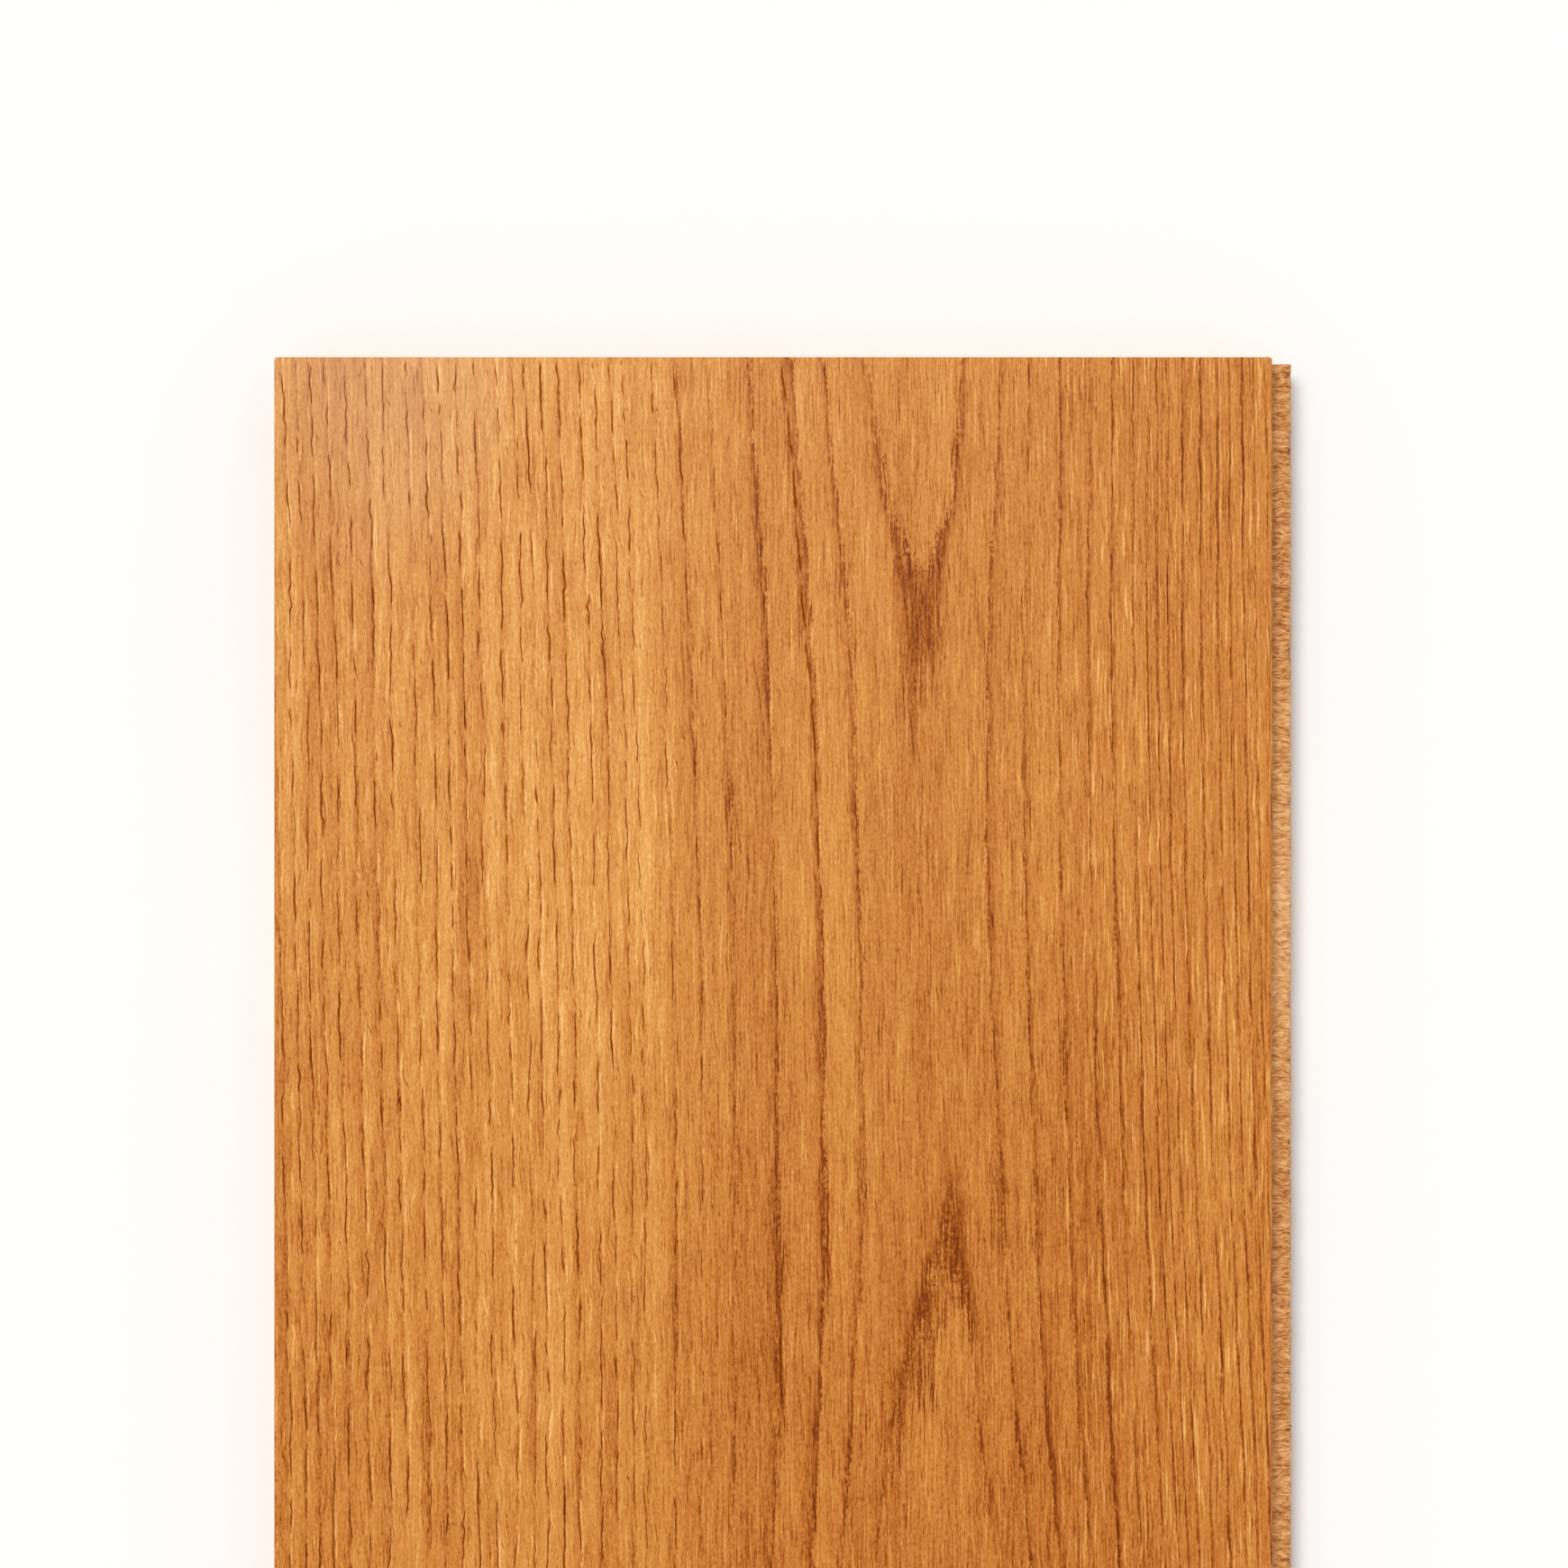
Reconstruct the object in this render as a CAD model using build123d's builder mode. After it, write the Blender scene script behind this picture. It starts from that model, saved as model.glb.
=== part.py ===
"""Engineered oak floorboard, one plank of long stock, lying flat with its oak face up.

Three glued layers: an oak wear layer on top, a core whose grain runs across the
board, and a lengthwise backing veneer.  The core carries the milled tongue on the
+X long edge and the groove on the -X long edge.  Both ends are square cut, with the
wood below the face set back a little so that the oak faces close first.

Frame: X across the board (tongue towards +X), Y along the board, Z up.
Origin: on the underside, at the middle of the whole board, tongue included.
"""

from build123d import *
import os

# ---------------------------------------------------------------- driving sizes, mm
LENGTH = 1900.0          # stock length of the oak face
FACE_W = 190.0           # width of the oak face, which is also the laid width
T_WEAR = 3.0             # oak wear layer
T_CORE = 9.0             # cross-grain core
T_BACK = 2.0             # backing veneer
TONGUE_OUT = 4.5         # how far the tongue stands out past the face edge
TONGUE_T = 4.4           # tongue thickness
TONGUE_DOWN = 4.6        # from the face down to the top of the tongue
TONGUE_NOSE_R = 0.8      # rounding of the tongue's nose
GROOVE_PLAY = 0.1        # play above and below the tongue in a groove
GROOVE_DEPTH = 5.0       # from the face edge to the bottom of the groove
GROOVE_LEAD = 0.3        # lead-in chamfer of the groove's lips
LOWER_SETBACK = 0.5      # long edges below tongue and groove stand back by this
END_SETBACK = 0.8        # ends below the face cheek stand back by this
EDGE_BEVEL = 0.4         # micro-bevel round the oak face
CORNER_R = 0.6           # the oak face's corners, seen from above

# ---------------------------------------------------------------- derived levels
T_ALL = T_WEAR + T_CORE + T_BACK
Z_CORE0 = T_BACK                         # underside of the core
Z_CORE1 = T_BACK + T_CORE                # glue line under the oak
Z_TONGUE1 = T_ALL - TONGUE_DOWN          # top of the tongue
Z_TONGUE0 = Z_TONGUE1 - TONGUE_T         # bottom of the tongue
Z_GROOVE1 = Z_TONGUE1 + GROOVE_PLAY
Z_GROOVE0 = Z_TONGUE0 - GROOVE_PLAY
# the face is shifted so that the whole board, tongue included, is centred on X = 0
X_R = FACE_W / 2 - TONGUE_OUT / 2        # face edge on the tongue side
X_L = X_R - FACE_W                       # face edge on the groove side
X_NOSE = X_R + TONGUE_OUT
X_MID = (X_L + X_R) / 2

os.makedirs("parts", exist_ok=True)

# ---------------------------------------------------------------- oak wear layer
with BuildPart() as oak_wear_layer:
    with BuildSketch(Plane.XY.offset(Z_CORE1)):
        with Locations((X_MID, 0)):
            Rectangle(FACE_W, LENGTH)
    extrude(amount=T_WEAR)
    # corners of the face, seen from above, then the micro-bevel round the face
    fillet(oak_wear_layer.edges().filter_by(Axis.Z), radius=CORNER_R)
    chamfer(oak_wear_layer.faces().sort_by(Axis.Z)[-1].edges(), length=EDGE_BEVEL)

oak_wear_layer.part.label = "oak_wear_layer"

# ---------------------------------------------------------------- cross-grain core
with BuildPart() as cross_grain_core:
    # upper cheek, flush with the oak on all four sides
    with BuildSketch(Plane.XY.offset(Z_TONGUE1)):
        with Locations((X_MID, 0)):
            Rectangle(FACE_W, LENGTH)
    extrude(amount=Z_CORE1 - Z_TONGUE1)
    # tongue and body below the cheek, drawn as the milled section and run along Y
    with BuildSketch(Plane.XZ) as section:
        with BuildLine():
            Polyline(
                (X_L, Z_TONGUE1),
                (X_L, Z_GROOVE0),
                (X_L + LOWER_SETBACK, Z_GROOVE0),
                (X_L + LOWER_SETBACK, Z_CORE0),
                (X_R - LOWER_SETBACK, Z_CORE0),
                (X_R - LOWER_SETBACK, Z_TONGUE0),
                (X_NOSE, Z_TONGUE0),
                (X_NOSE, Z_TONGUE1),
                close=True,
            )
        make_face()
        fillet(
            section.vertices().sort_by(Axis.X)[-2:],
            radius=TONGUE_NOSE_R,
        )
    extrude(amount=LENGTH / 2 - END_SETBACK, both=True)
    # groove along the other long edge, with a small lead-in on both lips
    with BuildSketch(Plane.XZ):
        with BuildLine():
            Polyline(
                (X_L - 1.0, Z_GROOVE1 + GROOVE_LEAD + 1.0),
                (X_L + GROOVE_LEAD, Z_GROOVE1),
                (X_L + GROOVE_DEPTH, Z_GROOVE1),
                (X_L + GROOVE_DEPTH, Z_GROOVE0),
                (X_L + LOWER_SETBACK + GROOVE_LEAD, Z_GROOVE0),
                (X_L + LOWER_SETBACK - 1.0, Z_GROOVE0 - GROOVE_LEAD - 1.0),
                (X_L - 1.0, Z_GROOVE0 - GROOVE_LEAD - 1.0),
                close=True,
            )
        make_face()
    extrude(amount=LENGTH / 2 + 5.0, both=True, mode=Mode.SUBTRACT)

cross_grain_core.part.label = "cross_grain_core"

# ---------------------------------------------------------------- backing veneer
with BuildPart() as backing_veneer:
    with BuildSketch(Plane.XY):
        with Locations((X_MID, 0)):
            Rectangle(FACE_W - 2 * LOWER_SETBACK, LENGTH - 2 * END_SETBACK)
    extrude(amount=T_BACK)

backing_veneer.part.label = "backing_veneer"

export_step(oak_wear_layer.part, "parts/oak_wear_layer.step")
export_step(cross_grain_core.part, "parts/cross_grain_core.step")
export_step(backing_veneer.part, "parts/backing_veneer.step")

for piece in (oak_wear_layer, cross_grain_core, backing_veneer):
    box = piece.part.bounding_box()
    print(piece.part.label, "solids", len(piece.part.solids()),
          "volume cm3", round(piece.part.volume / 1000, 1),
          "min", tuple(round(v, 2) for v in box.min), "max", tuple(round(v, 2) for v in box.max))
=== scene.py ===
import math

import bpy
import numpy as np
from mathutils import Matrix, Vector, geometry


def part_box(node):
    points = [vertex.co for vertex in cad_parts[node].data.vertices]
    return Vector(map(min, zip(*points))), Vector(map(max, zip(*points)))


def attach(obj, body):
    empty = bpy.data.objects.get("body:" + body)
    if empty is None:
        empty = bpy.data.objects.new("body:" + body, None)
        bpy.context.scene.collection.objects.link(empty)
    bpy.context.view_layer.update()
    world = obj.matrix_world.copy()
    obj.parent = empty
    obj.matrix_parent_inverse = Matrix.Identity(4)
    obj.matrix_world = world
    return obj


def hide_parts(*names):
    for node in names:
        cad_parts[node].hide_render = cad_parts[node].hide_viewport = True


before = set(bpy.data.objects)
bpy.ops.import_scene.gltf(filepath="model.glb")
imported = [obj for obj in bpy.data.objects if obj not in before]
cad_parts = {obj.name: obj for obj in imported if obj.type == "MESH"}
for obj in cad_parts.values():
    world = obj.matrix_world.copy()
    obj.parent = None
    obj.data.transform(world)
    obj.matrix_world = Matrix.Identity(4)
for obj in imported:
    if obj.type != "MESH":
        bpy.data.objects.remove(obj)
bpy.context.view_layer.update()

bpy.context.scene.view_settings.view_transform = "Standard"
bpy.context.scene.view_settings.look = "None"

MM = 0.001

# --- the board's own sizes, in millimetres, read from the frame -------------------------
oak_lo, oak_hi = (np.array(tuple(v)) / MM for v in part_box("oak_wear_layer"))
X0, Y0, Z_BOT = (float(v) for v in oak_lo)
X1, Y1, Z_TOP = (float(v) for v in oak_hi)
BEVEL = 0.4
CORNER = 0.6

# The face's drawing scale: the figure's landmarks are given in units of 0.17148 mm, across
# from the groove side's edge at 304 and down from the far end's edge at 396.
UNIT = (X1 - X0) / 1108.0


def across(p):
    return X0 + (np.asarray(p, float) - 304.0) * UNIT


def along(p):
    return Y1 - (np.asarray(p, float) - 396.0) * UNIT


# --- seeded value noise -----------------------------------------------------------------
def hash01(ix, iy, seed):
    h = (ix * 374761393 + iy * 668265263 + seed * 1442695041) & 0xFFFFFFFF
    h = ((h ^ (h >> 13)) * 1274126177) & 0xFFFFFFFF
    h = ((h ^ (h >> 15)) * 1597334677) & 0xFFFFFFFF
    return ((h ^ (h >> 16)) & 0xFFFFFFFF) / 4294967295.0


def vnoise(x, y, seed):
    """Smooth noise from -1 to 1 on a lattice of side 1."""
    x, y = np.asarray(x, float) + 1000.5, np.asarray(y, float) + 1000.5
    ix, iy = np.floor(x).astype(np.int64), np.floor(y).astype(np.int64)
    fx, fy = x - ix, y - iy
    fx, fy = fx * fx * (3 - 2 * fx), fy * fy * (3 - 2 * fy)
    a, b = hash01(ix, iy, seed), hash01(ix + 1, iy, seed)
    c, d = hash01(ix, iy + 1, seed), hash01(ix + 1, iy + 1, seed)
    return 2 * ((a + (b - a) * fx) * (1 - fy) + (c + (d - c) * fx) * fy) - 1


# --- the log: how the growth rings cross the face ---------------------------------------
# RISE is how the pith's squared distance from the face changes along the board. Where it
# passes a ring's own value, that ring closes in a point, which makes the cathedral figure.
TABLE_Y = np.arange(-1000.0, 1001.0, 1.0)


def smooth_table(knots, sigma):
    ys, vs = zip(*sorted(knots))
    t = np.interp(TABLE_Y, ys, vs)
    k = np.exp(-0.5 * (np.arange(-60, 61) / sigma) ** 2)
    k /= k.sum()
    return np.convolve(np.pad(t, 60, mode="edge"), k, mode="valid")


def parabola(p):
    return 50.6 * (1 - ((p - 1010.0) / 372.0) ** 2)


rise_knots = [(float(along(p)), parabola(p)) for p in range(740, 1760, 40)] + [
    (float(along(p)), -v) for p, v in ((340, 102.0), (396, 90.0), (440, 80.0), (478, 69.0), (510, 54.5), (536, 42.5), (566, 31.0), (592, 21.0), (612, 8.0), (630, -1.0), (660, -9.0), (700, -16.5))
] + [
    (680, -262), (620, -372), (540, -480), (450, -560), (330, -600), (200, -520),
    (90, -350), (0, -170), (-60, -40), (-100, 14), (-150, 42), (-200, 20), (-240, -40),
    (-300, -160), (-400, -370), (-520, -560), (-650, -640), (-800, -600), (-990, -430),
]  # fmt: skip
RISE = smooth_table(rise_knots, 7.0)
CENTRE = smooth_table(
    [(float(along(p)), float(across(q))) for p, q in ((200, 1003), (401, 1009), (700, 1017), (1010, 1024), (1300, 1030), (1600, 1036), (1740, 1040))]
    + [(600, 31.0), (450, 34.0), (250, 30.0), (50, 22.0), (-150, 15.0), (-350, 18.0), (-600, 27.0), (-800, 32.0), (-990, 30.0)],
    20.0,
)
# how far the innermost rings sit off that centre line
LEAN = smooth_table(
    [(float(along(p)), v * UNIT) for p, v in ((300, 2), (401, 4), (520, 7), (592, 8), (640, 5), (1000, 3), (1200, 14), (1290, 26), (1340, 27), (1400, 23), (1450, 18), (1520, 12), (1600, 5), (1740, 0))]
    + [(500, -1.0), (300, 1.5), (60, -1.0), (-110, 2.0), (-200, -2.0), (-400, 1.0), (-700, -1.5), (-990, 0.0)],
    6.0,
)
# Squared half-widths, in mm^2, at which each ring leaves the centre line: innermost first.
INNER = [-1050.0, -860.0, -756.0, -675.0, -576.0, -459.0, -324.0, -171.0, 0.0, 190.0]
FIRST = -8  # the number of INNER's first ring, so that the ring at 0 is number 0
outer_left = [
    27.95, 36.4, 42.7, 47.7, 53.5, 55.9, 59.2, 62.1, 66.4, 69.4, 72.5, 74.9, 78.5, 82.7, 86.1, 89.2,
    92.1, 95.5, 100.0, 103.2, 107.0, 110.6, 113.7, 116.3, 118.9, 121.9,
]  # fmt: skip
step = [2.6, 3.4, 2.9, 3.2, 2.6, 3.5, 3.2, 2.3, 3.6, 2.9, 4.1, 2.1]
while outer_left[-1] < 150:
    outer_left.append(outer_left[-1] + step[len(outer_left) % 12])
outer_right = [26.0, 31.9, 36.5, 40.8, 43.6, 45.6, 47.6, 50.4, 54.0, 57.3, 59.7, 62.2, 64.3]
while outer_right[-1] < 100:
    outer_right.append(outer_right[-1] + 0.75 * step[(len(outer_right) + 5) % 12])
Q_LEFT = np.array(INNER + [412.0] + [u * u + 50.6 for u in outer_left])
Q_RIGHT = np.array(INNER + [415.0] + [u * u + 50.6 for u in outer_right])
RING = np.arange(len(Q_LEFT)) + FIRST
RING_R = np.arange(len(Q_RIGHT)) + FIRST
# how strongly each ring's dark line shows, on the groove side and the tongue side
SHOW_L = {-6: 0.3, -5: 0.5, -4: 0.75, -3: 0.6, -2: 0.9, -1: 0.7, 0: 1.0, 1: 0.80, 2: 1.0, 3: 0.7, 4: 0.45, 5: 0.62, 6: 0.5, 7: 0.35}
SHOW_R = {-6: 0.3, -5: 0.5, -4: 0.75, -3: 0.6, -2: 0.9, -1: 0.7, 0: 1.0, 1: 0.62, 2: 0.62, 3: 0.56, 4: 0.6, 5: 0.65, 6: 0.7, 7: 0.85, 8: 0.7, 9: 0.9, 10: 0.75, 11: 0.95, 12: 0.8, 13: 0.7, 14: 0.85}


def table(t, y):
    return np.interp(y, TABLE_Y, t)


def waver(x, y):
    """Sideways wander of the grain, in mm: slow and shared by neighbouring rings."""
    px = (np.asarray(x, float) - X0) / UNIT + 304
    left = np.clip((820 - px) / 200, 0, 1)
    return (
        0.55 * vnoise(x / 31.0, y / 88.0, 11)
        + (0.16 + 0.20 * left) * vnoise(x / 9.0, y / 27.0, 12)
        + (0.05 + 0.19 * left) * vnoise(x / 3.1, y / 7.5, 13)
    )


def ring_field(x, y, z=None):
    """The ring number, whole on each dark line, at points of the oak layer."""
    x, y = np.asarray(x, float), np.asarray(y, float)
    u = x - waver(x, y) - table(CENTRE, y)
    u = u - table(LEAN, y) * np.exp(-((u / 11.0) ** 2))
    rise = table(RISE, y)
    q = u * u + rise
    if z is not None:
        d = Z_TOP - z
        q = q - 2 * np.sqrt(900 + np.maximum(rise, -800)) * d + d * d
    return np.where(u < 0, np.interp(q, Q_LEFT, RING), np.interp(q, Q_RIGHT, RING_R))


def shown(x, y):
    """How strongly the nearest ring line shows."""
    p = ring_field(x, y)
    left = np.asarray(x, float) < table(CENTRE, y)
    k = np.round(p).astype(int)
    out = np.full(np.shape(p), 0.46)
    for table_of, side in ((SHOW_L, left), (SHOW_R, ~left)):
        for ring, s in table_of.items():
            out = np.where((k == ring) & side, s, out)
    # the arms of the nearest point fade towards the far end
    py = (Y1 - np.asarray(y, float)) / UNIT + 396
    arm = np.interp(py, (396, 470, 515, 545, 600, 640, 700, 1440, 1500, 1560), (0.50, 0.52, 0.70, 0.60, 0.70, 0.88, 1.0, 0.85, 0.55, 0.42))
    out = np.where(k == 0, out * arm, out)
    vary = np.clip(0.85 + 0.40 * vnoise(k * 3.7, y / 38.0, 21) + 0.25 * vnoise(k * 5.1, y / 11.0, 22), 0.25, 1.2)
    return out * np.where((k == 2) & left, np.maximum(vary, 0.85), vary)


def line_x(ring, side, y):
    """Where a ring line crosses the face at y, or nan."""
    q = Q_LEFT if side < 0 else Q_RIGHT
    half = q[ring - FIRST] - table(RISE, y)
    u = side * np.sqrt(np.maximum(half, 0))
    lean = table(LEAN, y)
    u = u + lean * np.exp(-((u / 11.0) ** 2))
    x = u + table(CENTRE, y)
    x = x + waver(x, y)
    return np.where(half > 0, x, np.nan)


# --- open pores -------------------------------------------------------------------------
# Each pore is a slim groove: its middle, half-length, half-width, depth and slant.
rng = np.random.default_rng(1834)
PHOTO_Y = float(along(1740)) - 6  # the stretch nearest the far end gets the finest pores
pores = []  # the line each follows, its half-widths along it, its depth and how dark it is
columns = {}
COL = 0.5


def free(a, b, lo, hi):
    cells = range(int(math.floor(a / COL)), int(math.floor(b / COL)) + 1)
    for c in cells:
        for p, q, u, v in columns.get(c, ()):
            if p < hi and q > lo and u < b and v > a:
                return False
    for c in cells:
        columns.setdefault(c, []).append((lo, hi, a, b))
    return True


N_TILES = 3
tile_edges = np.linspace(Y0, Y1, N_TILES + 1)
TOP_X0, TOP_X1, TOP_Y0, TOP_Y1 = X0 + BEVEL, X1 - BEVEL, Y0 + BEVEL, Y1 - BEVEL


def add_pore(x, y, length, width, depth, slant, dark=1.0, follow=None, steady=False):
    hl, hw = length / 2, width / 2
    if y + hl > TOP_Y1 - 0.12:
        hl = (TOP_Y1 - 0.12 - (y - hl)) / 2
        y = TOP_Y1 - 0.12 - hl
    if y - hl < TOP_Y0 + 0.12:
        hl = (y + hl - TOP_Y0 - 0.12) / 2
        y = TOP_Y0 + 0.12 + hl
    if hl < 0.4:
        return False
    for e in tile_edges[1:-1]:
        if y - hl - 0.3 < e < y + hl + 0.3:
            return False
    near = y > PHOTO_Y
    n = int(min(13, max(3, round(2 * hl / 1.75)))) if near and hl > 1.2 else 2
    t = np.linspace(-1, 1, n + 1)
    t[1:-1] += rng.uniform(-0.28, 0.28, n - 1) * 2 / n
    ys = y + hl * t
    xs = x + slant * hl * t
    if follow is not None and n > 2:
        line = follow(ys)
        if np.all(np.isfinite(line)):
            xs = x + line - float(follow(y))
    ws = hw * (1 - 0.5 * np.abs(t) ** 3) * rng.uniform(0.72 if steady else 0.42, 1.10 if steady else 1.18, n + 1)
    ws[0] = ws[-1] = 0
    if n > 2:
        xs[1:-1] += rng.normal(0, 0.03 + (0.08 if steady or not near else 0.28 if x < across(790) else 0.20) * hw, n - 1)
    a, b = float((xs - ws).min()) - 0.06, float((xs + ws).max()) + 0.06
    if a - 0.2 < TOP_X0 or b + 0.2 > TOP_X1:
        return False
    if not free(a, b, y - hl - 0.45, y + hl + 0.45):
        return False
    pores.append((y, xs, ys, ws, depth, dark, near))
    return True


def zone(px):
    """Cover, widths, lengths and sideways scatter of the pores at a place across the face."""
    if px < 700:
        return 0.80, (0.44, 0.72), (3.0, 21.0), 0.15
    if px < 775:
        return 0.76, (0.40, 0.62), (3.0, 16.0), 0.17
    if px < 865:
        return 0.62, (0.30, 0.48), (2.5, 13.0), 0.17
    if px < 1090:
        return 0.60, (0.26, 0.42), (2.0, 12.0), 0.15
    if px < 1200:
        return 0.64, (0.29, 0.47), (3.0, 16.0), 0.13
    return 0.70, (0.29, 0.47), (5.0, 24.0), 0.11


def pores_on(ring, side, start, stop):
    y = start + rng.uniform(0, 6)
    while y < stop:
        x = float(line_x(ring, side, y))
        if not np.isfinite(x) or not TOP_X0 < x < TOP_X1:
            y += 6.0
            continue
        px = (x - X0) / UNIT + 304
        cover, (w0, w1), (l0, l1), scatter = zone(px)
        strong = (SHOW_L if side < 0 else SHOW_R).get(ring, 0.34)
        near = y > PHOTO_Y
        if ring <= 3:
            cover = 0.35 + 0.55 * strong
        length = l0 + (l1 - l0) * rng.beta(1.2, 2.0)
        if not near:
            length = length * 1.7 + 3.0
        x2 = float(line_x(ring, side, y + 2.0))
        slope = (x2 - x) / 2.0 if np.isfinite(x2) else 0.0
        if abs(slope) > 0.07:
            length = min(length, 3.0 + 0.25 / abs(slope))
            slope *= 0.45
            follow = None
        else:
            follow = lambda yy, r=ring, s=side: line_x(r, s, yy)  # noqa: E731
        slope = max(-0.12, min(0.12, slope)) + rng.normal(0, 0.006)
        mid = y + length / 2
        xm = float(line_x(ring, side, mid))
        if not np.isfinite(xm):
            xm = x
        off = side * abs(rng.normal(0, scatter)) * (1 if rng.random() < 0.72 else -1)
        width = (w0 + (w1 - w0) * rng.beta(1.4, 1.8)) * (0.75 + 0.25 * min(1, length / 8))
        dark = 0.66 + 0.34 * rng.beta(1.6, 1.0)
        add_pore(xm + off, mid, length, width, width * rng.uniform(0.40, 0.62), slope, dark, follow)
        gap = length * (1 / cover - 1) * rng.uniform(0.35, 1.65)
        y += length + max(gap, 0.9)
        if rng.random() < 0.07:
            y += rng.uniform(4, 14)


# long dark ones that stand alone or thicken a ring: across, from, to, width
for p0, p1, q0, q1, w in (
    (997, 418, 998, 474, 0.26), (919, 1316, 919, 1426, 1.00), (914, 1448, 912, 1472, 0.75), (870, 1372, 868, 1440, 0.55),
    (867, 1462, 866, 1560, 0.60), (866, 1572, 864, 1604, 0.50), (1029, 905, 1030, 985, 0.24), (1031, 1010, 1033, 1085, 0.24),
    (874, 458, 879, 508, 0.80), (880, 516, 884, 570, 0.90), (884, 578, 889, 638, 0.92), (889, 646, 894, 700, 0.90),
    (894, 708, 901, 760, 0.94), (901, 768, 905, 842, 0.86), (905, 850, 907, 902, 0.74), (907, 910, 909, 965, 0.80), (912, 1010, 915, 1090, 0.45), (916, 1110, 917, 1180, 0.5),
    (996, 880, 997, 930, 0.2), (747, 400, 752, 470, 0.42), (867, 400, 873, 450, 0.72), (1050, 540, 1046, 575, 0.4),
    (1060, 480, 1056, 525, 0.45), (1066, 415, 1065, 460, 0.4), (981, 520, 985, 545, 0.5), (806, 877, 808, 925, 0.42),
):  # fmt: skip
    y_a, y_b = float(along(p1)), float(along(q1))
    x_a, x_b = float(across(p0)), float(across(q0))
    add_pore((x_a + x_b) / 2, (y_a + y_b) / 2, abs(y_a - y_b), w, min(0.28, 0.45 * w), (x_b - x_a) / (y_b - y_a), steady=w > 0.6)
# the streaked points of the two cathedrals
for p, q, sp, sq, n_fine in ((1024, 655, 15, 34, 120), (1020, 738, 12, 28, 90), (1058, 1392, 10, 26, 70), (1036, 1440, 14, 20, 50), (1012, 1520, 9, 34, 60), (1082, 1450, 6, 24, 30), (1000, 590, 8, 30, 40), (1046, 590, 6, 26, 40)):
    for _ in range(n_fine):
        x, y = float(across(p + sp * rng.normal())), float(along(q + sq * rng.normal()))
        add_pore(x, y, rng.uniform(2.2, 6.5), rng.uniform(0.12, 0.22), 0.08, rng.normal(0, 0.015), rng.uniform(0.4, 0.75))

for side, count, show in ((-1, len(Q_LEFT), SHOW_L), (1, len(Q_RIGHT), SHOW_R)):
    for ring in range(FIRST + 2, FIRST + count - 1):
        pores_on(ring, side, Y0 + 0.6, Y1 - 0.6)
# short torn ones that lean across the grain
for _ in range(420):
    x, y = rng.uniform(TOP_X0 + 1, float(across(800))), rng.uniform(PHOTO_Y, Y1 - 2)
    width = rng.uniform(0.22, 0.40)
    add_pore(x, y, rng.uniform(1.3, 2.6), width, 0.5 * width, -rng.uniform(0.18, 0.55), rng.uniform(0.5, 0.95))
# finer ones scattered between the rings
for _ in range(6400):
    near = rng.random() < 0.62
    y = rng.uniform(PHOTO_Y, Y1 - 1) if near else rng.uniform(Y0 + 1, PHOTO_Y)
    x = rng.uniform(TOP_X0 + 0.5, TOP_X1 - 0.5)
    px = (x - X0) / UNIT + 304
    keep = 0.35 if px < 760 else 0.62 if px < 1200 else 0.5
    if rng.random() > keep:
        continue
    length = rng.uniform(1.6, 7.0)
    width = rng.uniform(0.13, 0.24)
    slope = (float(waver(x, y + 3)) - float(waver(x, y - 3))) / 6
    add_pore(x, y, length, width, width * 0.6, slope + rng.normal(0, 0.01), rng.uniform(0.35, 0.80))
print("pores", len(pores), "fine", sum(p[6] for p in pores))


# --- the oak layer as one closed mesh ---------------------------------------------------
def outline(inset, ny, nx, r):
    """Points of the layer's outline, counter-clockwise from the near left, its corners rounded."""
    x0, x1, y0, y1 = X0 + inset, X1 - inset, Y0 + inset, Y1 - inset
    pts = []

    def corner(cx, cy, a0):
        for k in range(5):
            a = math.radians(a0 + 22.5 * k)
            pts.append((cx + r * math.cos(a), cy + r * math.sin(a)))

    ys = np.linspace(y0 + r, y1 - r, ny + 1)[1:-1]
    xs = np.linspace(x0 + r, x1 - r, nx + 1)[1:-1]
    pts += [(x, y0) for x in xs]
    corner(x1 - r, y0 + r, -90)
    pts += [(x1, y) for y in ys]
    corner(x1 - r, y1 - r, 0)
    pts += [(x, y1) for x in xs[::-1]]
    corner(x0 + r, y1 - r, 90)
    pts += [(x0, y) for y in ys[::-1]]
    corner(x0 + r, y0 + r, 180)
    return np.array(pts)


inner = outline(BEVEL, 570, 190, CORNER - BEVEL)
outer = outline(0.0, 570, 190, CORNER)
# both outlines pass through the tile edges exactly
for ring_pts in (inner, outer):
    for e in tile_edges[1:-1]:
        for side_x in (ring_pts[:, 0].min(), ring_pts[:, 0].max()):
            on = np.where(np.abs(ring_pts[:, 0] - side_x) < 1e-6)[0]
            ring_pts[on[np.argmin(np.abs(ring_pts[on, 1] - e))], 1] = e
# the bevel's inner edge is a little uneven, as sanding leaves it
wear = 0.10 * vnoise(inner[:, 0] / 5.0, inner[:, 1] / 7.0, 31) + 0.05 * vnoise(inner[:, 0] / 1.7, inner[:, 1] / 2.3, 32)
cx_mid, half_x, half_y = (X0 + X1) / 2, (X1 - X0) / 2, (Y1 - Y0) / 2
at_side = np.abs(np.abs(inner[:, 0] - cx_mid) - (half_x - BEVEL)) < 1e-6
at_end = np.abs(np.abs(inner[:, 1]) - (half_y - BEVEL)) < 1e-6
from_corner = np.minimum(half_x - np.abs(inner[:, 0] - cx_mid) + half_y - np.abs(inner[:, 1]) - 2 * BEVEL - CORNER, 5.0) / 5.0
wear = np.clip(from_corner, 0, 1) * np.where(at_side, 0.06 + np.clip(wear, -0.05, 0.15), np.clip(0.5 * wear, 0.0, 0.09))
inner[at_side & ~at_end, 0] -= (np.sign(inner[:, 0] - cx_mid) * wear)[at_side & ~at_end]
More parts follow.
